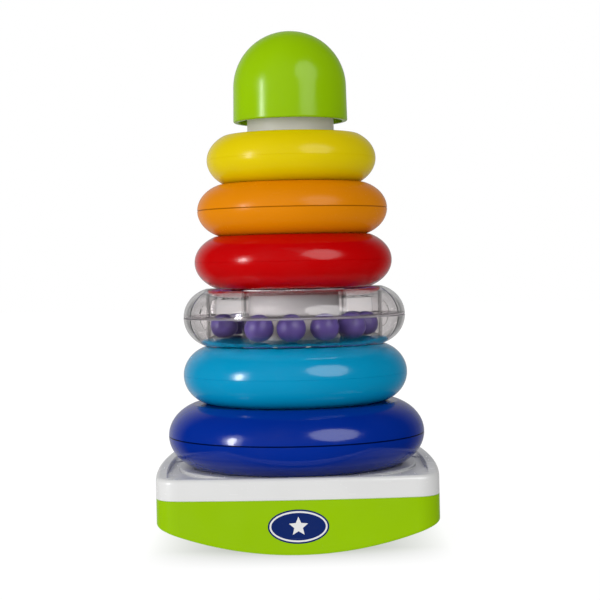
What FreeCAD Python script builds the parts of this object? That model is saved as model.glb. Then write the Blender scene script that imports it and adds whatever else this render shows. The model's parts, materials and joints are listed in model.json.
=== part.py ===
# Stacking ring toy: a rocking base with a hollow post, six lift-off rings and a domed cap.
# Millimetres. +Z is up and is the post's axis, -Y is the front. The origin is on the floor, midway along
# the line on which the rocker stands, straight below the post.
#
# Each ring is two hollow halves welded at the equator. The clear ring also has a round fence inside,
# which keeps ten loose beads on a circular track, and four thin webs outside the fence.
import FreeCAD, Part
import math
import os

V = FreeCAD.Vector
ORIGIN = V(0, 0, 0)
UP = V(0, 0, 1)
BACK = V(0, 1, 0)
BIG = 400.0

# --- base: plan outline (a square with bowed sides) and rocker -------------------------------------
BASE_HALF_WIDTH = 68.5
BASE_HALF_DEPTH = 66.0
BOW_RADIUS = 560.0
CORNER_RADIUS = 12.0
ROCKER_RADIUS = 179.0
ROCKER_END_RADIUS = 10.0
ROCKER_END_MARGIN = 1.0          # the end rounding starts this far outside the bowed sides
ROCKER_EDGE_FILLET = 1.5
BASE_WALL = 2.4

# --- base: heights --------------------------------------------------------------------------------
SEAM_Z = 25.3                    # where the green shell meets the white cover
RIM_Z = 35.2                     # top of the cover's raised rim
PLATFORM_Z = 33.9                # the flat on which the lowest ring stands
COVER_FLOOR_Z = 32.6             # floor round the platform, inside the raised rim
CORNER_STEP_Z = 33.4             # inner edge of the low steps that fill the cover's corners
CEILING_Z = 31.0                 # underside of the cover's top plate
REVEAL = 0.35                    # chamfer on both sides of a parting line

# --- base: features on the cover ------------------------------------------------------------------
RIM_WIDTH = 5.3
RIM_FILLET = 2.0
RIM_INNER_FILLET = 0.45
PLATFORM_RADIUS = 59.0
PLATFORM_FILLET = 0.8
STEP_RADIUS = 64.9               # the corner steps start outside this circle
STEP_START_X = 30.0
STEP_START_Y = 23.0
STEP_END_RADIUS = 1.6
STEP_EDGE_FILLET = 0.35
STEP_SLOPE_FROM = 68.0           # radius at which the steps begin to rise towards the corners
STEP_SLOPE_TO = 84.0
LIP_THICKNESS = 1.2
LIP_HEIGHT = 2.0
FIT_GAP = 0.1

# --- base: screws and inner supports --------------------------------------------------------------
SCREW_X = 46.0
SCREW_Y = 44.0
BOSS_RADIUS = 5.4
WELL_RADIUS = 3.6
WELL_TOP_Z = 17.5
BOSS_TOP_Z = 20.0
SHANK_HOLE_RADIUS = 1.7
PILLAR_RADIUS = 4.2
PILOT_RADIUS = 1.3
PILOT_DEPTH = 10.6
SCREW_RADIUS = 1.5
SCREW_LENGTH = 12.0
SCREW_HEAD_RADIUS = 3.0
SCREW_HEAD_HEIGHT = 2.2
SUPPORT_RADIUS = 30.0
RIB_THICKNESS = 1.8

# --- post -----------------------------------------------------------------------------------------
POST_TOP_Z = 228.0
POST_TOP_RADIUS = 21.3
POST_FOOT_RADIUS = 23.6
POST_WALL = 2.4
POST_TOP_FILLET = 5.0
FLANGE_RADIUS = 33.0
FLANGE_THICKNESS = 2.4
PEG_RADIUS = 1.5
PEG_CIRCLE = 28.0
PEG_COUNT = 3

# --- rings, from the lowest up --------------------------------------------------------------------
# name, outer radius, height, the two semi-axes of the elliptical outer face, and the chamfer on each
# side of the parting line
RINGS = [
    ("blue_ring", 63.6, 31.1, 21.4, 17.1, 0.26),
    ("light_blue_ring", 55.7, 28.4, 16.8, 15.0, 0.12),
    ("clear_ring", 55.2, 28.6, 16.1, 14.9, 0.20),
    ("red_ring", 49.2, 25.9, 19.7, 14.6, 0.12),
    ("orange_ring", 47.4, 25.6, 17.8, 13.9, 0.26),
    ("yellow_ring", 42.2, 24.4, 19.5, 14.6, 0.10),
]
CLEAR_RING = "clear_ring"
HOLE_RADIUS = 24.3
RING_WALL = 2.0
SHOULDER_FILLET = 3.0            # where the outer face turns into the flat top
MOUTH_FILLET = 1.4               # round the hole
TONGUE_THICKNESS = 0.9
TONGUE_HEIGHT = 1.2
TONGUE_GAP = 0.05

# --- clear ring: fence, webs and beads ------------------------------------------------------------
FENCE_RADIUS = 42.9
FENCE_THICKNESS = 1.5
WEB_THICKNESS = 1.2
WEB_ANGLES = [-112.0, -68.0, 68.0, 112.0]      # degrees from the front
BEAD_RADIUS = 7.0
BEAD_FLAT_DEPTH = 0.02           # how little the ball is flattened at its top and bottom
BEAD_ORBIT_RADIUS = 35.2
BEAD_FLOOR_GAP = 0.15
BEAD_ANGLES = [-122.0, -86.0, -28.5, -2.5, 24.0, 50.5, 88.0, 122.0, 152.0, -158.0]

# --- cap ------------------------------------------------------------------------------------------
CAP_RADIUS = 28.2
CAP_RIM_RADIUS = 28.5
CAP_CENTRE_Z = 221.5             # centre of the dome's half sphere
CAP_RIM_Z = 204.4
CAP_WALL = 2.4
CAP_TOP_FLAT_RADIUS = 1.0        # a small flat at the very top, outside and inside
CAP_RIM_FILLET = 0.8
CAP_SOCKET_FOOT_Z = 207.5        # the socket inside the cap reaches down to here
CAP_SOCKET_WALL = 1.6
CAP_SOCKET_CLEARANCE = 0.4
CAP_NECK_RADIUS = 10.5           # inside of the narrower tube between the socket and the dome

# --- badge on the front ---------------------------------------------------------------------------
BADGE_HALF_WIDTH = 14.0
BADGE_HALF_HEIGHT = 7.8
BADGE_Z = 13.3
BADGE_THICKNESS = 0.9
BADGE_INLAY = 0.45               # how deep the border and the star are let into the badge
BADGE_BORDER_INSET = 0.7
BADGE_BORDER_WIDTH = 0.8
STAR_RADIUS = 4.6
STAR_INNER_RATIO = 0.45
STAR_POINTS = 5


def export(shape, name):
    """Writes one sub-part to parts/name.step and prints what it holds."""
    os.makedirs("parts", exist_ok=True)
    solids = shape.Solids
    good = all(s.isValid() and s.Volume > 0 for s in solids)
    print(f"{name:24s} solids {len(solids)}  volume {shape.Volume / 1000:8.3f} cm3  valid {good}")
    shape.exportStep(f"parts/{name}.step")


def cylinder(radius, z0, z1, x=0.0, y=0.0):
    """An upright cylinder between two heights."""
    return Part.makeCylinder(radius, z1 - z0, V(x, y, z0), UP)


def tube(outer, inner, z0, z1, x=0.0, y=0.0):
    """An upright round tube between two heights."""
    return cylinder(outer, z0, z1, x, y).cut(cylinder(inner, z0 - 1, z1 + 1, x, y))


def box(x0, x1, y0, y1, z0, z1):
    """A box given by its limits."""
    return Part.makeBox(x1 - x0, y1 - y0, z1 - z0, V(x0, y0, z0))


def turned(points_and_edges):
    """The solid made by turning a closed outline in the XZ plane about the Z axis."""
    face = Part.Face(Part.Wire(points_and_edges))
    return face.revolve(ORIGIN, UP, 360)


def line(a, b):
    """A straight edge in the XZ plane, between two (radius, height) points."""
    return Part.makeLine(V(a[0], 0, a[1]), V(b[0], 0, b[1]))


def polygon_turned(points):
    """A turned solid whose outline has only straight edges."""
    closed = points + points[:1]
    return turned([line(a, b) for a, b in zip(closed, closed[1:])])


def four_corners(x, y):
    """The four mirror images of a plan position."""
    return [(sx * x, sy * y) for sx in (-1, 1) for sy in (-1, 1)]


def fillet_if(shape, radius, chosen):
    """Rounds the edges that a test picks."""
    return shape.makeFillet(radius, [e for e in shape.Edges if chosen(e)])


def is_upright(edge):
    """True for a straight edge parallel to Z."""
    b = edge.BoundBox
    return b.XLength < 1e-4 and b.YLength < 1e-4 and b.ZLength > 0.1


# ------------------------------------------------------------------------------------------- base
def bowed_prism(inset, z0, z1):
    """The base's plan outline, moved inwards by inset, as an upright prism."""
    bow = BOW_RADIUS - inset
    away_x = BOW_RADIUS - BASE_HALF_WIDTH
    away_y = BOW_RADIUS - BASE_HALF_DEPTH
    prism = cylinder(bow, z0, z1, away_x, 0)
    for x, y in ((-away_x, 0), (0, away_y), (0, -away_y)):
        prism = prism.common(cylinder(bow, z0, z1, x, y))
    return fillet_if(prism, CORNER_RADIUS - inset, is_upright)


def rocker_block(inset):
    """Everything above the rocker's curved underside, with rounded ends, moved inwards by inset."""
    half = BASE_HALF_WIDTH + ROCKER_END_MARGIN - inset
    drum = Part.makeCylinder(ROCKER_RADIUS - inset, 2 * BIG, V(0, -BIG, ROCKER_RADIUS), BACK)
    block = drum.common(box(-half, half, -BIG / 2, BIG / 2, -1, RIM_Z + 10))

    def is_lower_end(edge):
        b = edge.BoundBox
        return b.XLength < 1e-4 and b.ZLength < 1e-4 and b.ZMax < SEAM_Z

    return fillet_if(block, ROCKER_END_RADIUS - inset, is_lower_end)


def rocker_envelope(inset, z1):
    """The lower part of the base up to z1, as a solid block."""
    return bowed_prism(inset, -1, z1).common(rocker_block(inset))


def badge_ellipse(shrink):
    """An elliptical bar along Y, as large as the badge less shrink all round."""
    curve = Part.Ellipse(V(0, 0, 0), BADGE_HALF_WIDTH - shrink, BADGE_HALF_HEIGHT - shrink)
    face = Part.Face(Part.Wire(curve.toShape()))
    face.rotate(ORIGIN, V(1, 0, 0), 90)
    face.translate(V(0, -BASE_HALF_DEPTH - 5, BADGE_Z))
    return face.extrude(V(0, 20, 0))


def front_skin(depth_from, depth_to):
    """The layer of the base's front wall between two depths below its surface."""
    skin = bowed_prism(depth_from, 0, SEAM_Z).cut(bowed_prism(depth_to, -1, SEAM_Z + 1))
    return skin.common(box(-BIG, BIG, -BIG, -BASE_HALF_DEPTH / 2, -1, SEAM_Z + 1))


def rocker_shell():
    """The green lower shell: rocker, screw bosses, post support, ribs and the locating lip."""
    outer = rocker_envelope(0, SEAM_Z)

    def is_bottom_outline(edge):
        b = edge.BoundBox
        along_y = b.XLength < 1e-4 and b.ZLength < 1e-4
        return b.ZMax < SEAM_Z - 1 and not along_y and not is_upright(edge)

    outer = fillet_if(outer, ROCKER_EDGE_FILLET, is_bottom_outline)
    outer = outer.makeChamfer(REVEAL, [
        e for e in outer.Edges if e.BoundBox.ZMin > SEAM_Z - 1e-3 and e.Length > 1])
    cavity = rocker_envelope(BASE_WALL, SEAM_Z + 1)

    lip = bowed_prism(BASE_WALL + FIT_GAP, SEAM_Z - 3, SEAM_Z + LIP_HEIGHT)
    lip = lip.cut(bowed_prism(BASE_WALL + FIT_GAP + LIP_THICKNESS, SEAM_Z - 4, SEAM_Z + LIP_HEIGHT + 1))
    foot = bowed_prism(BASE_WALL / 2, SEAM_Z - 3, SEAM_Z - 1).cut(
        bowed_prism(BASE_WALL + FIT_GAP + LIP_THICKNESS, SEAM_Z - 4, SEAM_Z))

    flange_z = CEILING_Z - FLANGE_THICKNESS
    inside = tube(SUPPORT_RADIUS, SUPPORT_RADIUS - RIB_THICKNESS, 0, flange_z)
    for x, y in four_corners(SCREW_X, SCREW_Y):
        inside = inside.fuse(cylinder(BOSS_RADIUS, 0, BOSS_TOP_Z, x, y))
        inside = inside.fuse(corner_rib(math.atan2(y, x), SUPPORT_RADIUS - 1, math.hypot(x, y)))
    inside = inside.common(rocker_envelope(BASE_WALL / 2, RIM_Z))

    shell = outer.cut(cavity).fuse(lip).fuse(foot).fuse(inside)
    for x, y in four_corners(SCREW_X, SCREW_Y):
        shell = shell.cut(cylinder(WELL_RADIUS, -1, WELL_TOP_Z, x, y))
        shell = shell.cut(cylinder(SHANK_HOLE_RADIUS, -1, BOSS_TOP_Z + 1, x, y))
    badge_seat = front_skin(-1, BADGE_THICKNESS).common(badge_ellipse(-FIT_GAP))
    return shell.cut(badge_seat).removeSplitter()


def corner_rib(angle, r0, r1):
    """A low rib inside the shell, from the post's support out to a screw boss."""
    height = BOSS_TOP_Z - 4
    rib = box(r0, r1, -RIB_THICKNESS / 2, RIB_THICKNESS / 2, 0, height)
    rib.rotate(ORIGIN, UP, math.degrees(angle))
    return rib


def corner_steps():
    """The low steps that fill the cover's four corners outside a circle, rising towards the rim."""
    base = COVER_FLOOR_Z - 1
    top = polygon_turned([
        (STEP_RADIUS, base), (BIG, base), (BIG, RIM_Z - 2 * RIM_INNER_FILLET),
        (STEP_SLOPE_TO, RIM_Z - 2 * RIM_INNER_FILLET), (STEP_SLOPE_FROM, CORNER_STEP_Z),
        (STEP_RADIUS, CORNER_STEP_Z)])
    top = top.common(bowed_prism(RIM_WIDTH / 2, base, RIM_Z))
    whole = None
    for sx, sy in four_corners(1, 1):
        x0, x1 = sorted((sx * STEP_START_X, sx * BIG))
        y0, y1 = sorted((sy * STEP_START_Y, sy * BIG))
        step = top.common(box(x0, x1, y0, y1, 0, RIM_Z))
        step = fillet_if(step, STEP_END_RADIUS, is_inner_corner)
        step = fillet_if(step, STEP_EDGE_FILLET, is_step_edge)
        whole = step if whole is None else whole.fuse(step)
    return whole


def is_inner_corner(edge):
    """Picks the upright edges where a corner step's inner face meets its two ends."""
    c = edge.BoundBox.Center
    return is_upright(edge) and abs(math.hypot(c.x, c.y) - STEP_RADIUS) < 1e-2


def is_step_edge(edge):
    """Picks the level upper edges of a corner step's inner face, with its rounded ends."""
    b = edge.BoundBox
    level = b.ZLength < 1e-4 and abs(b.ZMax - CORNER_STEP_Z) < 1e-3
    middle = edge.valueAt((edge.FirstParameter + edge.LastParameter) / 2)
    return level and math.hypot(middle.x, middle.y) < STEP_SLOPE_FROM - 0.2


def base_cover():
    """The white cover: rim, round platform, corner steps, screw pillars and pegs for the post."""
    outer = bowed_prism(0, SEAM_Z, RIM_Z)
    outer = outer.makeFillet(RIM_FILLET, [e for e in outer.Edges if e.BoundBox.ZMin > RIM_Z - 1e-3])
    outer = outer.makeChamfer(REVEAL, [e for e in outer.Edges if e.BoundBox.ZMax < SEAM_Z + 1e-3])
    cover = outer.cut(bowed_prism(RIM_WIDTH, COVER_FLOOR_Z, RIM_Z + 1))
    cover = fillet_if(cover, RIM_INNER_FILLET, is_rim_inner_edge)
    platform = cylinder(PLATFORM_RADIUS, COVER_FLOOR_Z - 1, PLATFORM_Z)
    platform = fillet_if(platform, PLATFORM_FILLET, lambda e: e.BoundBox.ZMin > PLATFORM_Z - 1e-3)
    cover = cover.fuse(platform).fuse(corner_steps())
    cover = cover.cut(bowed_prism(BASE_WALL, SEAM_Z - 1, CEILING_Z))
    for x, y in four_corners(SCREW_X, SCREW_Y):
        cover = cover.fuse(cylinder(PILLAR_RADIUS, BOSS_TOP_Z, CEILING_Z + 0.5, x, y))
        cover = cover.cut(cylinder(PILOT_RADIUS, BOSS_TOP_Z - 1, BOSS_TOP_Z + PILOT_DEPTH, x, y))
    for x, y in peg_places():
        cover = cover.fuse(cylinder(PEG_RADIUS, CEILING_Z - FLANGE_THICKNESS, CEILING_Z + 0.5, x, y))
    return cover.cut(cylinder(POST_FOOT_RADIUS + FIT_GAP, 0, RIM_Z + 1)).removeSplitter()


def is_rim_inner_edge(edge):
    """Picks the upper inner edge of the raised rim."""
    b = edge.BoundBox
    level = b.ZLength < 1e-4 and abs(b.ZMax - RIM_Z) < 1e-3
    reach = max(abs(b.XMin), abs(b.XMax), abs(b.YMin), abs(b.YMax))
    return level and reach < BASE_HALF_WIDTH - RIM_WIDTH + 0.05


def peg_places():
    """Plan positions of the pegs that stop the post from turning."""
    turns = [2 * math.pi * k / PEG_COUNT + math.pi / 2 for k in range(PEG_COUNT)]
    return [(PEG_CIRCLE * math.cos(a), PEG_CIRCLE * math.sin(a)) for a in turns]


def base_screws():
    """Four pan-head screws, each with a cross recess, driven up from under the rocker."""
    screws = []
    head_z = WELL_TOP_Z - SCREW_HEAD_HEIGHT
    for x, y in four_corners(SCREW_X, SCREW_Y):
        head = cylinder(SCREW_HEAD_RADIUS, head_z, WELL_TOP_Z, x, y)
        head = fillet_if(head, 1.0, lambda e: e.BoundBox.ZMax < head_z + 1e-3)
        shank = cylinder(SCREW_RADIUS, WELL_TOP_Z - 0.5, WELL_TOP_Z + SCREW_LENGTH, x, y)
        tip_edge = [e for e in shank.Edges if e.BoundBox.ZMin > WELL_TOP_Z + SCREW_LENGTH - 1e-3]
        shank = shank.makeChamfer(0.9, tip_edge[:1])
        screw = head.fuse(shank)
        for half_x, half_y in ((1.7, 0.35), (0.35, 1.7)):
            screw = screw.cut(box(x - half_x, x + half_x, y - half_y, y + half_y, head_z - 1, head_z + 1.2))
        screws.append(screw.removeSplitter())
    return Part.makeCompound(screws)


def front_badge():
    """The oval badge plate let into the front of the shell, with grooves for its border and star."""
    plate = front_skin(0, BADGE_THICKNESS).common(badge_ellipse(0))
    return plate.cut(badge_figure_bars()).removeSplitter()


def badge_figure_bars():
    """Bars along Y with the outlines of the border and the star, cut to the inlay's depth."""
    border = badge_ellipse(BADGE_BORDER_INSET).cut(badge_ellipse(BADGE_BORDER_INSET + BADGE_BORDER_WIDTH))
    corners = []
    for k in range(2 * STAR_POINTS):
        radius = STAR_RADIUS * (1 if k % 2 == 0 else STAR_INNER_RATIO)
        angle = math.pi / 2 + math.pi * k / STAR_POINTS
        corners.append(V(radius * math.cos(angle), -BASE_HALF_DEPTH - 5, BADGE_Z + radius * math.sin(angle)))
    star = Part.Face(Part.makePolygon(corners + corners[:1])).extrude(V(0, 20, 0))
    return Part.makeCompound([border, star]).common(front_skin(-1, BADGE_INLAY))


def badge_inlay():
    """The border and the star, filling their grooves flush with the badge."""
    figure = badge_figure_bars().common(front_skin(0, BADGE_INLAY))
    return Part.makeCompound(figure.Solids)


# ------------------------------------------------------------------------------------------- post
def post_radius(z):
    """Outer radius of the tapered post at a height."""
    share = (z - CEILING_Z) / (POST_TOP_Z - CEILING_Z)
    return POST_FOOT_RADIUS + share * (POST_TOP_RADIUS - POST_FOOT_RADIUS)


def post():
    """The hollow tapered post, closed at the top, with the flange that the cover holds down."""
    flange_z = CEILING_Z - FLANGE_THICKNESS
    body = polygon_turned([
        (0, flange_z), (FLANGE_RADIUS, flange_z), (FLANGE_RADIUS, CEILING_Z),
        (POST_FOOT_RADIUS, CEILING_Z), (POST_TOP_RADIUS, POST_TOP_Z), (0, POST_TOP_Z)])
    body = fillet_if(body, POST_TOP_FILLET, lambda e: e.BoundBox.ZMin > POST_TOP_Z - 1e-3)
    hollow = polygon_turned([
        (0, flange_z - 1), (POST_FOOT_RADIUS - POST_WALL, flange_z - 1),
        (POST_TOP_RADIUS - POST_WALL, POST_TOP_Z - POST_WALL), (0, POST_TOP_Z - POST_WALL)])
    hollow = fillet_if(hollow, POST_TOP_FILLET - 1.5,
                       lambda e: e.BoundBox.ZMin > POST_TOP_Z - POST_WALL - 1e-3)
    body = body.cut(hollow)
    for x, y in peg_places():
        body = body.cut(cylinder(PEG_RADIUS + FIT_GAP, flange_z - 1, CEILING_Z + 1, x, y))
    return body.removeSplitter()


# ------------------------------------------------------------------------------------------ rings
def ring_places():
    """Each ring's name, shape, parting-line chamfer and underside height, from the platform up."""
    z = PLATFORM_Z
    for name, radius, height, across, along, groove in RINGS:
        yield name, (radius, height, across, along, z), groove
        z += height


def ring_blank(radius, height, across, along, z0):
    """A whole ring's outer shape: straight hole, flat ends and an elliptical outer face."""
    half = height / 2
    middle = z0 + half
    reach = across * math.sqrt(1 - (half / along) ** 2)
    centre = radius - across
    ellipse = ellipse_edge(centre, middle, across, along, half)
    top = (centre + reach, z0 + height)
    foot = (centre + reach, z0)
    blank = turned([ellipse, line(top, (HOLE_RADIUS, z0 + height)),
                    line((HOLE_RADIUS, z0 + height), (HOLE_RADIUS, z0)), line((HOLE_RADIUS, z0), foot)])

    def is_end_edge(edge):
        b = edge.BoundBox
        at_end = abs(b.ZMax - z0) < 1e-3 or abs(b.ZMin - z0 - height) < 1e-3
        return at_end and b.ZLength < 1e-3 and b.XMax > HOLE_RADIUS + 1

    def is_mouth_edge(edge):
        b = edge.BoundBox
        return b.ZLength < 1e-3 and abs(b.XMax - HOLE_RADIUS) < 1e-3

    blank = fillet_if(blank, SHOULDER_FILLET, is_end_edge)
    return fillet_if(blank, MOUTH_FILLET, is_mouth_edge)


def ellipse_edge(centre, middle, across, along, half):
    """The arc of an upright ellipse in the XZ plane, from -half to +half about its middle height."""
    if across > along:
        curve = Part.Ellipse(V(0, 0, 0), across, along)
        turn = math.asin(half / along)
        arc = Part.ArcOfEllipse(curve, -turn, turn).toShape()
    else:
        curve = Part.Ellipse(V(0, 0, 0), along, across)
        turn = math.asin(half / along)
        arc = Part.ArcOfEllipse(curve, -turn, turn).toShape()
        arc.rotate(ORIGIN, UP, 90)
    arc.rotate(ORIGIN, V(1, 0, 0), 90)
    arc.translate(V(centre, 0, middle))
    return arc


def ring_cavity(radius, height, across, along, z0):
    """The hollow inside a ring, one wall thickness in from its outer shape."""
    half = height / 2 - RING_WALL
    middle = z0 + height / 2
    inner_across = across - RING_WALL
    inner_along = along - RING_WALL
    centre = radius - across
    reach = inner_across * math.sqrt(1 - (half / inner_along) ** 2)
    hub = HOLE_RADIUS + RING_WALL
    low = middle - half
    high = middle + half
    return turned([ellipse_edge(centre, middle, inner_across, inner_along, half),
                   line((centre + reach, high), (hub, high)), line((hub, high), (hub, low)),
                   line((hub, low), (centre + reach, low))])


def seam_tongues(radius, middle, gap):
    """The two upright tongues on the lower half, one at the outer wall and one at the hub."""
    hub = HOLE_RADIUS + RING_WALL
    low = middle - 0.5
    high = middle + TONGUE_HEIGHT + gap
    outer = tube(radius - RING_WALL + TONGUE_THICKNESS + gap, radius - RING_WALL, low, high)
    inner = tube(hub, hub - TONGUE_THICKNESS - gap, low, high)
    return outer.fuse(inner)


def ring_halves(form, groove, fenced):
    """The upper and lower halves of one ring, hollow, with a welded tongue joint at the equator."""
    radius, height, _, _, z0 = form
    middle = z0 + height / 2
    shell = ring_blank(*form).cut(ring_cavity(*form))
    if fenced:
        shell = shell.fuse(fence_and_webs(form))
    above = box(-BIG, BIG, -BIG, BIG, middle, middle + BIG)
    below = box(-BIG, BIG, -BIG, BIG, middle - BIG, middle)
    upper = shell.common(above)
    lower = shell.common(below)
    upper = chamfer_seam(upper, radius, middle, groove)
    lower = chamfer_seam(lower, radius, middle, groove)
    upper = upper.cut(seam_tongues(radius, middle, TONGUE_GAP))
    lower = lower.fuse(seam_tongues(radius, middle, 0.0).cut(below))
    return upper.removeSplitter(), lower.removeSplitter()


def chamfer_seam(half, radius, middle, size):
    """Breaks the outer edge at the parting line, so that two halves leave a fine groove."""
    edges = [e for e in half.Edges
             if abs(e.BoundBox.ZMin - middle) < 1e-3 and e.BoundBox.ZLength < 1e-3
             and abs(e.BoundBox.XMax - radius) < 1e-2]
    return half.makeChamfer(size, edges)


def fence_and_webs(form):
    """The round fence inside the clear ring and the thin webs between it and the outer wall."""
    radius, height, _, _, z0 = form
    outer_side = FENCE_RADIUS + FENCE_THICKNESS
    shape = tube(outer_side, FENCE_RADIUS, z0, z0 + height)
    for angle in WEB_ANGLES:
        web = box(-WEB_THICKNESS / 2, WEB_THICKNESS / 2, -radius, -outer_side + 0.3, z0, z0 + height)
        web.rotate(ORIGIN, UP, angle)
        shape = shape.fuse(web)
    into_the_walls = tube(radius - RING_WALL / 2, FENCE_RADIUS - 0.5, z0 + 1, z0 + height - 1)
    return shape.common(ring_cavity(*form).fuse(into_the_walls)).common(ring_blank(*form))


def bead(angle, z):
    """One loose bead on the track, at an angle from the front."""
    a = math.radians(angle)
    place = V(BEAD_ORBIT_RADIUS * math.sin(a), -BEAD_ORBIT_RADIUS * math.cos(a), z)
    half = BEAD_RADIUS - BEAD_FLAT_DEPTH
    ball = Part.makeSphere(BEAD_RADIUS).common(
        box(-BEAD_RADIUS, BEAD_RADIUS, -BEAD_RADIUS, BEAD_RADIUS, -half, half))
    return ball.translated(place)


# -------------------------------------------------------------------------------------------- cap
def dome(radius, rim_radius, rim_z):
    """A solid half sphere, flat at the very top, on a slightly flared skirt."""
    flat = CAP_TOP_FLAT_RADIUS
    top = CAP_CENTRE_Z + math.sqrt(radius ** 2 - flat ** 2)
    bend = radius / math.sqrt(2)
    arc = Part.Arc(V(radius, 0, CAP_CENTRE_Z), V(bend, 0, CAP_CENTRE_Z + bend), V(flat, 0, top)).toShape()
    return turned([arc, line((flat, top), (0, top)), line((0, top), (0, rim_z)),
                   line((0, rim_z), (rim_radius, rim_z)), line((rim_radius, rim_z), (radius, CAP_CENTRE_Z))])


def cap():
    """The domed cap: a cup with a socket inside that centres it on the post and rests on its top."""
    outer = dome(CAP_RADIUS, CAP_RIM_RADIUS, CAP_RIM_Z)
    outer = fillet_if(outer, CAP_RIM_FILLET,
                      lambda e: e.BoundBox.ZMax < CAP_RIM_Z + 1e-3 and e.BoundBox.XMax > CAP_RADIUS)
    shell = outer.cut(dome(CAP_RADIUS - CAP_WALL, CAP_RIM_RADIUS - CAP_WALL, CAP_RIM_Z - 1))
    inside = socket_and_neck().common(
        dome(CAP_RADIUS - CAP_WALL / 2, CAP_RIM_RADIUS - CAP_WALL / 2, CAP_RIM_Z))
    return shell.fuse(inside).removeSplitter()


def socket_and_neck():
    """The wide tube round the post's top, its flat shoulder, and the narrow tube up to the dome."""
    room = post_radius(CAP_SOCKET_FOOT_Z) + CAP_SOCKET_CLEARANCE
    shoulder = tube(room + CAP_SOCKET_WALL, CAP_NECK_RADIUS, POST_TOP_Z, POST_TOP_Z + CAP_SOCKET_WALL)
    socket = tube(room + CAP_SOCKET_WALL, room, CAP_SOCKET_FOOT_Z, POST_TOP_Z)
    neck = tube(CAP_NECK_RADIUS + CAP_SOCKET_WALL, CAP_NECK_RADIUS, POST_TOP_Z, CAP_CENTRE_Z + CAP_RADIUS)
    return socket.fuse(shoulder).fuse(neck)


# ------------------------------------------------------------------------------------------ build
def main():
    export(rocker_shell(), "rocker_shell")
    export(base_cover(), "base_cover")
    export(base_screws(), "base_screws")
    export(front_badge(), "front_badge")
    export(badge_inlay(), "front_badge_inlay")
    export(post(), "post")
    for name, form, groove in ring_places():
        upper, lower = ring_halves(form, groove, name == CLEAR_RING)
        export(upper, f"{name}_upper_half")
        export(lower, f"{name}_lower_half")
        if name == CLEAR_RING:
            bead_z = form[-1] + RING_WALL + BEAD_RADIUS + BEAD_FLOOR_GAP
            for number, angle in enumerate(BEAD_ANGLES, start=1):
                export(bead(angle, bead_z), f"bead_{number:02d}")
    export(cap(), "cap")


main()
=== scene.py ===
# Looks of the stacking ring toy: materials, studio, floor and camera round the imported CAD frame.
# Everything is in metres, in the frame of the CAD: +Z up the post, -Y the front.
import json
import math

import bpy
from mathutils import Euler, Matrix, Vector


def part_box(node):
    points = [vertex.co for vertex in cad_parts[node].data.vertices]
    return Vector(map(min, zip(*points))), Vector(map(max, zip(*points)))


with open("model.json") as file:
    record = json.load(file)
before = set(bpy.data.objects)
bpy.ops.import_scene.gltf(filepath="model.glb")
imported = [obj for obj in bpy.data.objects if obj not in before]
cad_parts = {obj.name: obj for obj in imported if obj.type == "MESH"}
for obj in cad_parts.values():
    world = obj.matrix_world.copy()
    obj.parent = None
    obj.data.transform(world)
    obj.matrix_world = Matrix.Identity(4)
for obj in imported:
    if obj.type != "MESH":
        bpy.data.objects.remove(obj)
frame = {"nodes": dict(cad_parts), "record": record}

scene = bpy.context.scene
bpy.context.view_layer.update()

# --- camera: in front of the toy, level, just above its middle, slightly rolled --------------------
CAMERA_DISTANCE = 0.7731
CAMERA_HEIGHT = 0.1332
CAMERA_LENS = 92.77
CAMERA_ROLL = math.radians(-1.17)
CAMERA_SHIFT = (0.0113, -0.0591)
CAMERA_SENSOR = 36.0
CAMERA_NEAR = 0.05

# --- studio ---------------------------------------------------------------------------------------
FLOOR_SIZE = 8.0
FLOOR_ALBEDO = 0.10
FLOOR_GLOW = 0.95
# the floor's glow is dimmed in a soft patch under the toy: a painted contact shadow, not a cast one
PAINTED_SHADOW_DEPTH = 0.52              # how much of the floor's glow the painted shadow under the toy takes away
PAINTED_SHADOW_HALF_WIDTH = 0.072        # where the painted shadow ends to the sides, in metres
PAINTED_SHADOW_INNER, PAINTED_SHADOW_OUTER = 0.050, 0.100     # where the painted shadow starts to fade and ends, to the front and back
PAINTED_SHADOW_FADE = 1.5
AMBIENT_TOP = 0.28              # what the room adds to matt surfaces from above
AMBIENT_BELOW = 0.92            # and from below, where the pale floor is
AMBIENT_SIDE_LOSS = 0.30        # how much darker the room is at the right than in the middle
AMBIENT_BEHIND = 0.90           # what the white backdrop adds to matt surfaces from behind
LOBE = 1.42                     # a broad soft light from the front and above, on matt surfaces only
LOBE_AIM = (-0.30, -0.83, 0.47)
LOBE_POWER = 4.0
GLOSS_FRONT = 0.0               # how bright glossy surfaces see the room in front of the toy
GLOSS_BACK = 0.42               # and the backdrop behind it
GLOSS_FROM = 0.50               # the backdrop starts at this Y of the direction, and is full at the next
GLOSS_FULL = 0.90
GLOSS_SIDE_LOSS = 0.60          # how much darker it is at the right than in the middle
CLEAR_FRONT = 0.20              # the same for what clear plastic lets through
CLEAR_BACK = 0.80
CLEAR_FROM = 0.88
CLEAR_FULL = 1.00
# name, degrees right of the front, degrees up, distance, width and height, radiance
LAMPS = [
    ("key", -58.0, 7.0, 1.15, (0.17, 0.42), 34.0),
    ("halo", -58.0, 9.0, 1.20, (0.42, 0.80), 3.8),
    ("softbox", 36.0, 28.0, 1.30, (1.00, 1.05), 5.2),
]

LAMP_TARGET = (0, 0, 0.12)

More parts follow.
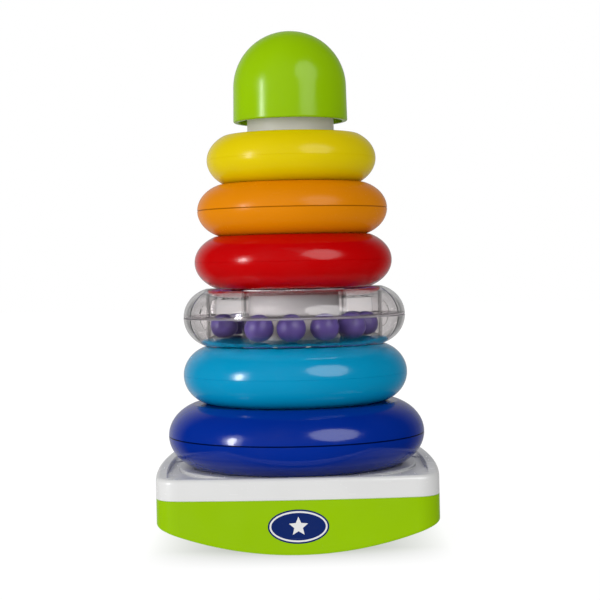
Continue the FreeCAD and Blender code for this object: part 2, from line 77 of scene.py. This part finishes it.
# --- plastics: slot, linear colour, roughness, strength of the gloss, how dark its parting line is -----
PLASTICS = {
    "green_plastic": ((0.300, 0.545, 0.0005), 0.17, 0.16, None),
    "white_plastic": ((0.775, 0.775, 0.770), 0.22, 0.50, None),
    "post_plastic": ((0.800, 0.800, 0.790), 0.40, 0.15, None),
    "blue_plastic": ((0.0002, 0.0240, 0.295), 0.13, 0.34, 0.85),
    "light_blue_plastic": ((0.0003, 0.295, 0.545), 0.14, 0.32, None),
    "red_plastic": ((0.535, 0.0001, 0.0008), 0.14, 0.22, None),
    "orange_plastic": ((0.750, 0.236, 0.0001), 0.22, 0.10, 0.40),
    "yellow_plastic": ((0.750, 0.585, 0.0001), 0.18, 0.14, None),
    "purple_plastic": ((0.112, 0.075, 0.310), 0.30, 0.30, None),
    "badge_navy": ((0.004, 0.020, 0.140), 0.20, 0.30, None),
    "badge_white": ((0.780, 0.780, 0.780), 0.25, 0.28, None),
}
PLASTIC_IOR = 1.48
LINE_INNER, LINE_OUTER = 0.00022, 0.00040   # the darkening along a parting line is full to here and ends here

# --- clear ring -----------------------------------------------------------------------------------
CLEAR_TINT = (0.968, 0.952, 0.952)
CLEAR_IOR = 1.49
CLEAR_IOR_INSIDE = 1.12         # the thin upright fence and hub bend light less than the outer wall
CLEAR_INSIDE = 0.0455           # surfaces nearer the ring's middle than this count as inside
CLEAR_INSIDE_FADE = 0.001
CLEAR_GLEAM_INSIDE, CLEAR_GLEAM = 0.08, 0.55    # how strongly inner and outer surfaces mirror
CLEAR_UPRIGHT, CLEAR_LEVEL = 0.3, 0.5           # steepness of a surface, from its normal's Z
CLEAR_SHADOW_TINT = (0.93, 0.93, 0.94, 1)
WELD_FROST = (0.90, 0.86, 0.87, 1)
WELD_SHARE = 0.5
WELD_INNER, WELD_OUTER = 0.0002, 0.0006

# --- surface detail; noise scales are in cells per metre --------------------------------------------
MOTTLE_SCALE = 38.0             # slow changes of shade from the moulding's flow
HAZE_SCALE = 70.0               # patches of handling haze
PEEL_SCALE = 420.0              # orange peel
SWELL_SCALE = 60.0              # slow waves in the surface
SWELL_SHARE = 2.5
SCRATCH_DEPTH = 0.25
SCRATCH_ROUGHNESS = 0.10
BUMP_STRENGTH = 0.12
BUMP_HEIGHT = 0.00012
CLEAR_MOTTLE_SCALE = 45.0
CLEAR_SWELL_SCALE = 55.0
CLEAR_ROUGHNESS = 0.015
CLEAR_BUMP_STRENGTH = 0.10
CLEAR_BUMP_HEIGHT = 0.0002
SCREW_COLOUR = (0.58, 0.58, 0.60)
SCREW_GRAIN_SCALE = 1500.0


# ------------------------------------------------------------------------------------------ nodes
def node(tree, kind, place=(0, 0), **settings):
    """Adds a shader node and sets its properties."""
    made = tree.nodes.new(kind)
    made.location = place
    for key, value in settings.items():
        setattr(made, key, value)
    return made


def new_material(name):
    """An empty node material with its output, and the tree it holds."""
    material = bpy.data.materials.new(name)
    material.use_nodes = True
    tree = material.node_tree
    tree.nodes.clear()
    return material, tree, node(tree, "ShaderNodeOutputMaterial", (900, 0))


def maths(tree, operation, a, b=None, c=None, clamp=False):
    """A Math node; each of a, b and c is a number or an output socket. Returns the output socket."""
    made = node(tree, "ShaderNodeMath", operation=operation, use_clamp=clamp)
    for socket, value in zip(made.inputs, (a, b, c)):
        if isinstance(value, bpy.types.NodeSocket):
            tree.links.new(value, socket)
        elif value is not None:
            socket.default_value = value
    return made.outputs[0]


def noise(tree, vector, scale, detail=2.0, roughness=0.5):
    """A Noise Texture's value; its scale is in cells per metre."""
    made = node(tree, "ShaderNodeTexNoise")
    made.inputs["Scale"].default_value = scale
    made.inputs["Detail"].default_value = detail
    made.inputs["Roughness"].default_value = roughness
    tree.links.new(vector, made.inputs["Vector"])
    return made.outputs["Fac"]


def remap(tree, value, low, high, to_low, to_high):
    """A clamped linear map of a socket from low..high to to_low..to_high."""
    made = node(tree, "ShaderNodeMapRange")
    for name, number in (("From Min", low), ("From Max", high), ("To Min", to_low), ("To Max", to_high)):
        made.inputs[name].default_value = number
    tree.links.new(value, made.inputs["Value"])
    return made.outputs["Result"]


def mixed(tree, share, first, second):
    """A linear mix of two sockets: the first where share is 0, the second where it is 1."""
    made = node(tree, "ShaderNodeMix", data_type="FLOAT")
    for socket, value in zip(made.inputs[:1] + made.inputs[2:4], (share, first, second)):
        tree.links.new(value, socket)
    return made.outputs[0]


def tinted(tree, colour, value):
    """A flat colour multiplied by a grey socket, as a colour socket."""
    made = node(tree, "ShaderNodeVectorMath", operation="SCALE")
    made.inputs[0].default_value = colour
    tree.links.new(value, made.inputs["Scale"])
    return made.outputs[0]


def place_in_metres(tree, stretch=(1, 1, 1), turn=(0, 0, 0)):
    """The point on the surface in the object's own metres, stretched and turned."""
    where = node(tree, "ShaderNodeTexCoord")
    mapping = node(tree, "ShaderNodeMapping")
    mapping.inputs["Scale"].default_value = stretch
    mapping.inputs["Rotation"].default_value = turn
    tree.links.new(where.outputs["Object"], mapping.inputs["Vector"])
    return mapping.outputs["Vector"]


# -------------------------------------------------------------------------------------- materials
def fine_scratches(tree):
    """Sparse hairlines in two directions: 0 on clean plastic, up to 1 along a hairline."""
    total = None
    for stretch, turn in (((55, 900, 900), (0.3, 0.2, 0.5)), ((900, 60, 900), (0.2, 0.6, 1.1))):
        streak = noise(tree, place_in_metres(tree, stretch, turn), 1.0, 1.0, 0.4)
        line = remap(tree, streak, 0.68, 0.80, 0.0, 1.0)
        total = line if total is None else maths(tree, "MAXIMUM", total, line)
    return total


def equator(ring):
    """The height at which a ring's two halves meet."""
    return (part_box(ring + "_lower_half")[0][2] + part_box(ring + "_upper_half")[1][2]) / 2


def near_height(tree, metres, height, inner, outer):
    """1 within inner of a height, falling to 0 at outer, in metres."""
    split = node(tree, "ShaderNodeSeparateXYZ")
    tree.links.new(metres, split.inputs[0])
    off = maths(tree, "ABSOLUTE", maths(tree, "SUBTRACT", split.outputs["Z"], height))
    return remap(tree, off, inner, outer, 1.0, 0.0)


def distance_from_axis(tree, metres):
    """How far the point on the surface is from the post's axis."""
    split = node(tree, "ShaderNodeSeparateXYZ")
    tree.links.new(metres, split.inputs[0])
    flat = node(tree, "ShaderNodeCombineXYZ")
    tree.links.new(split.outputs["X"], flat.inputs["X"])
    tree.links.new(split.outputs["Y"], flat.inputs["Y"])
    reach = node(tree, "ShaderNodeVectorMath", operation="LENGTH")
    tree.links.new(flat.outputs[0], reach.inputs[0])
    return reach.outputs["Value"]


def roughen(tree, shader, relief, strength, distance):
    """Gives a shader a bumped normal from a height socket."""
    bump = node(tree, "ShaderNodeBump")
    bump.inputs["Strength"].default_value = strength
    bump.inputs["Distance"].default_value = distance
    tree.links.new(relief, bump.inputs["Height"])
    tree.links.new(bump.outputs["Normal"], shader.inputs["Normal"])


def moulded_plastic(name, colour, roughness, gloss, line):
    """Glossy moulded plastic: faint flow mottling, orange peel, handling haze and hairline scratches,
    and on the rings a parting line that is darker and less glossy."""
    material, tree, output = new_material(name)
    shader = node(tree, "ShaderNodeBsdfPrincipled", (600, 0))
    metres = place_in_metres(tree)

    mottle = remap(tree, noise(tree, metres, MOTTLE_SCALE, 3.0), 0.3, 0.7, 0.975, 1.02)
    if line:
        height = equator(name.replace("_plastic", "_ring"))
        # the ring is made darker and less glossy in a thin band along its parting line
        line_band = near_height(tree, metres, height, LINE_INNER, LINE_OUTER)
        mottle = maths(tree, "MULTIPLY", mottle, maths(tree, "MULTIPLY_ADD", line_band, -line, 1.0))
        shine = remap(tree, line_band, 0.0, 1.0, gloss, gloss * (1.0 - line))
        tree.links.new(shine, shader.inputs["Specular IOR Level"])
    tree.links.new(tinted(tree, colour, mottle), shader.inputs["Base Color"])

    haze = noise(tree, metres, HAZE_SCALE, 4.0, 0.6)
    haze = remap(tree, haze, 0.35, 0.7, roughness - 0.02, roughness + 0.05)
    scratches = fine_scratches(tree)
    rough = maths(tree, "ADD", haze, maths(tree, "MULTIPLY", scratches, SCRATCH_ROUGHNESS))
    tree.links.new(rough, shader.inputs["Roughness"])

    peel = noise(tree, metres, PEEL_SCALE, 2.0, 0.5)
    swell = noise(tree, metres, SWELL_SCALE, 1.0, 0.4)
    relief = maths(tree, "MULTIPLY_ADD", swell, SWELL_SHARE, peel)
    relief = maths(tree, "MULTIPLY_ADD", scratches, -SCRATCH_DEPTH, relief)
    roughen(tree, shader, relief, BUMP_STRENGTH, BUMP_HEIGHT)

    shader.inputs["IOR"].default_value = PLASTIC_IOR
    shader.inputs["Specular IOR Level"].default_value = gloss
    tree.links.new(shader.outputs["BSDF"], output.inputs["Surface"])
    return material


def clear_plastic(name):
    """Clear moulded plastic: faint swirls and scuffs, a dull fence and hub, and a frosted weld line."""
    material, tree, output = new_material(name)
    shader = node(tree, "ShaderNodeBsdfPrincipled", (600, 0))
    metres = place_in_metres(tree)
    mottle = remap(tree, noise(tree, metres, CLEAR_MOTTLE_SCALE, 3.0), 0.3, 0.7, 0.985, 1.0)
    tree.links.new(tinted(tree, CLEAR_TINT, mottle), shader.inputs["Base Color"])
    rough = maths(tree, "MULTIPLY_ADD", fine_scratches(tree), SCRATCH_ROUGHNESS, CLEAR_ROUGHNESS)
    tree.links.new(rough, shader.inputs["Roughness"])
    swell = noise(tree, metres, CLEAR_SWELL_SCALE, 1.0, 0.4)
    roughen(tree, shader, swell, CLEAR_BUMP_STRENGTH, CLEAR_BUMP_HEIGHT)
    shader.inputs["Transmission Weight"].default_value = 1.0

    reach = distance_from_axis(tree, metres)
    ends = CLEAR_INSIDE, CLEAR_INSIDE + CLEAR_INSIDE_FADE
    gleam = remap(tree, reach, *ends, CLEAR_GLEAM_INSIDE, CLEAR_GLEAM)
    tree.links.new(gleam, shader.inputs["Specular Tint"])

    facing = node(tree, "ShaderNodeSeparateXYZ")
    tree.links.new(node(tree, "ShaderNodeNewGeometry").outputs["True Normal"], facing.inputs[0])
    steepness = maths(tree, "ABSOLUTE", facing.outputs["Z"])
    level = remap(tree, steepness, CLEAR_UPRIGHT, CLEAR_LEVEL, 0.0, 1.0)
    bends = maths(tree, "MAXIMUM", level, remap(tree, reach, *ends, 0.0, 1.0))
    tree.links.new(remap(tree, bends, 0.0, 1.0, CLEAR_IOR_INSIDE, CLEAR_IOR), shader.inputs["IOR"])

    frost = node(tree, "ShaderNodeBsdfTranslucent")
    frost.inputs["Color"].default_value = WELD_FROST
    welded = node(tree, "ShaderNodeMixShader")
    seam = near_height(tree, metres, equator("clear_ring"), WELD_INNER, WELD_OUTER)
    tree.links.new(maths(tree, "MULTIPLY", seam, WELD_SHARE), welded.inputs["Fac"])
    tree.links.new(shader.outputs["BSDF"], welded.inputs[1])
    tree.links.new(frost.outputs["BSDF"], welded.inputs[2])

    path = node(tree, "ShaderNodeLightPath")
    through = node(tree, "ShaderNodeBsdfTransparent")
    through.inputs["Color"].default_value = CLEAR_SHADOW_TINT
    lamp_passes = node(tree, "ShaderNodeMixShader")
    tree.links.new(path.outputs["Is Shadow Ray"], lamp_passes.inputs["Fac"])
    tree.links.new(welded.outputs["Shader"], lamp_passes.inputs[1])
    tree.links.new(through.outputs["BSDF"], lamp_passes.inputs[2])
    tree.links.new(lamp_passes.outputs["Shader"], output.inputs["Surface"])
    return material


def screw_steel(name):
    """Zinc-plated steel with a fine grain."""
    material, tree, output = new_material(name)
    shader = node(tree, "ShaderNodeBsdfPrincipled", (600, 0))
    metres = place_in_metres(tree)
    grain = noise(tree, metres, SCREW_GRAIN_SCALE, 3.0, 0.6)
    shade = remap(tree, grain, 0.3, 0.7, 0.9, 1.05)
    tree.links.new(tinted(tree, SCREW_COLOUR, shade), shader.inputs["Base Color"])
    tree.links.new(remap(tree, grain, 0.3, 0.7, 0.28, 0.45), shader.inputs["Roughness"])
    shader.inputs["Metallic"].default_value = 1.0
    tree.links.new(shader.outputs["BSDF"], output.inputs["Surface"])
    return material


def all_materials():
    """One material for each slot of the record, and the post's own."""
    made = {slot: moulded_plastic(slot, *facts) for slot, facts in PLASTICS.items()}
    made["clear_plastic"] = clear_plastic("clear_plastic")
    made["screw_steel"] = screw_steel("screw_steel")
    return made


def dress_nodes(materials):
    """Gives every CAD node the material of its slot; the white post is duller than the white cover."""
    for part in frame["record"]["subparts"]:
        piece = frame["nodes"][part["node"]]
        slot = "post_plastic" if part["node"] == "post" else part["material_slot"]
        piece.data.materials.clear()
        piece.data.materials.append(materials[slot])


# ----------------------------------------------------------------------------------------- studio
def make_floor():
    """A large pale floor at the height of the rocker's contact line: it glows, dimmer under the toy
    where a soft shadow is painted into the glow.
    """
    bpy.ops.mesh.primitive_plane_add(size=FLOOR_SIZE)
    floor = bpy.context.object
    floor.name = "floor"
    material, tree, output = new_material("pale_floor")
    matt = node(tree, "ShaderNodeBsdfDiffuse", (300, 0))
    matt.inputs["Color"].default_value = (FLOOR_ALBEDO, FLOOR_ALBEDO, FLOOR_ALBEDO, 1)
    glow = node(tree, "ShaderNodeEmission", (300, -200))
    split = node(tree, "ShaderNodeSeparateXYZ")
    tree.links.new(place_in_metres(tree), split.inputs[0])
    # painted shadow: the glow is dimmed in a soft patch under the toy, across and along
    across = maths(tree, "DIVIDE", split.outputs["X"], PAINTED_SHADOW_HALF_WIDTH)
    across = maths(tree, "SUBTRACT", 1.0, maths(tree, "MULTIPLY", across, across), clamp=True)
    along = maths(tree, "ABSOLUTE", split.outputs["Y"])
    along = remap(tree, along, PAINTED_SHADOW_INNER, PAINTED_SHADOW_OUTER, 1.0, 0.0)
    shade = maths(tree, "MULTIPLY", across, maths(tree, "POWER", along, PAINTED_SHADOW_FADE))
    level = maths(tree, "MULTIPLY_ADD", shade, -PAINTED_SHADOW_DEPTH * FLOOR_GLOW, FLOOR_GLOW)
    tree.links.new(level, glow.inputs["Strength"])
    both = node(tree, "ShaderNodeAddShader", (600, 0))
    tree.links.new(matt.outputs[0], both.inputs[0])
    tree.links.new(glow.outputs[0], both.inputs[1])
    tree.links.new(both.outputs[0], output.inputs["Surface"])
    floor.data.materials.append(material)
    floor.visible_diffuse = False
    floor.visible_glossy = False
    floor.visible_transmission = False


def make_world():
    """A white backdrop behind the toy and a dim room in front of it; the camera sees plain white."""
    world = bpy.data.worlds.new("studio")
    scene.world = world
    world.use_nodes = True
    tree = world.node_tree
    tree.nodes.clear()
    where = node(tree, "ShaderNodeTexCoord")
    split = node(tree, "ShaderNodeSeparateXYZ")
    tree.links.new(where.outputs["Generated"], split.inputs[0])
    in_gloss = remap(tree, split.outputs["Y"], GLOSS_FROM, GLOSS_FULL, GLOSS_FRONT, GLOSS_BACK)
    gloss_sides = maths(tree, "MULTIPLY_ADD", split.outputs["X"], -GLOSS_SIDE_LOSS, 1.0)
    in_gloss = maths(tree, "MULTIPLY", in_gloss, gloss_sides)
    through = remap(tree, split.outputs["Y"], CLEAR_FROM, CLEAR_FULL, CLEAR_FRONT, CLEAR_BACK)
    heights = remap(tree, split.outputs["Z"], -1.0, 1.0, AMBIENT_BELOW, AMBIENT_TOP)
    sides = maths(tree, "MULTIPLY_ADD", split.outputs["X"], -AMBIENT_SIDE_LOSS, 1.0)
    lobe = node(tree, "ShaderNodeVectorMath", operation="DOT_PRODUCT")
    lobe.inputs[1].default_value = LOBE_AIM
    tree.links.new(where.outputs["Generated"], lobe.inputs[0])
    lobe = maths(tree, "POWER", maths(tree, "MAXIMUM", lobe.outputs["Value"], 0.0), LOBE_POWER)
    ambient = maths(tree, "MULTIPLY_ADD", lobe, LOBE, maths(tree, "MULTIPLY", heights, sides))
    behind = maths(tree, "MAXIMUM", split.outputs["Y"], 0.0)
    ambient = maths(tree, "MULTIPLY_ADD", behind, AMBIENT_BEHIND, ambient)
    path = node(tree, "ShaderNodeLightPath")
    seen = mixed(tree, path.outputs["Is Transmission Ray"], in_gloss, through)
    seen = mixed(tree, path.outputs["Is Diffuse Ray"], seen, ambient)
    level = maths(tree, "MAXIMUM", seen, path.outputs["Is Camera Ray"])
    sky = node(tree, "ShaderNodeBackground")
    sky.inputs["Color"].default_value = (1, 1, 1, 1)
    tree.links.new(level, sky.inputs["Strength"])
    output = node(tree, "ShaderNodeOutputWorld")
    tree.links.new(sky.outputs[0], output.inputs["Surface"])


def make_lamp(name, side, rise, distance, size, radiance):
    """An oval lamp of a given radiance that looks at the toy; only gloss and clear plastic see it."""
    data = bpy.data.lights.new(name, "AREA")
    data.shape = "ELLIPSE"
    data.size, data.size_y = size
    data.energy = radiance * math.pi * math.pi / 4 * data.size * data.size_y
    lamp = bpy.data.objects.new(name, data)
    scene.collection.objects.link(lamp)
    side = math.radians(side)
    rise = math.radians(rise)
    away = Vector((math.sin(side) * math.cos(rise), -math.cos(side) * math.cos(rise), math.sin(rise)))
    lamp.location = Vector(LAMP_TARGET) + away * distance
    lamp.rotation_euler = away.to_track_quat("Z", "Y").to_euler()
    lamp.visible_camera = False
    lamp.visible_diffuse = False


def make_camera():
    """The camera at the front, level, rolled a little."""
    data = bpy.data.cameras.new("camera")
    data.sensor_width = CAMERA_SENSOR
    data.lens = CAMERA_LENS
    data.shift_x, data.shift_y = CAMERA_SHIFT
    data.clip_start = CAMERA_NEAR
    camera = bpy.data.objects.new("camera", data)
    scene.collection.objects.link(camera)
    camera.location = (0, -CAMERA_DISTANCE, CAMERA_HEIGHT)
    level = Euler((math.radians(90), 0, 0)).to_matrix()
    camera.rotation_euler = (level @ Euler((0, 0, CAMERA_ROLL)).to_matrix()).to_euler()
    scene.camera = camera


# ------------------------------------------------------------------------------------------ build
scene.view_settings.view_transform = "Standard"
scene.view_settings.look = "None"
dress_nodes(all_materials())
make_floor()
make_world()
for lamp_facts in LAMPS:
    make_lamp(*lamp_facts)
make_camera()
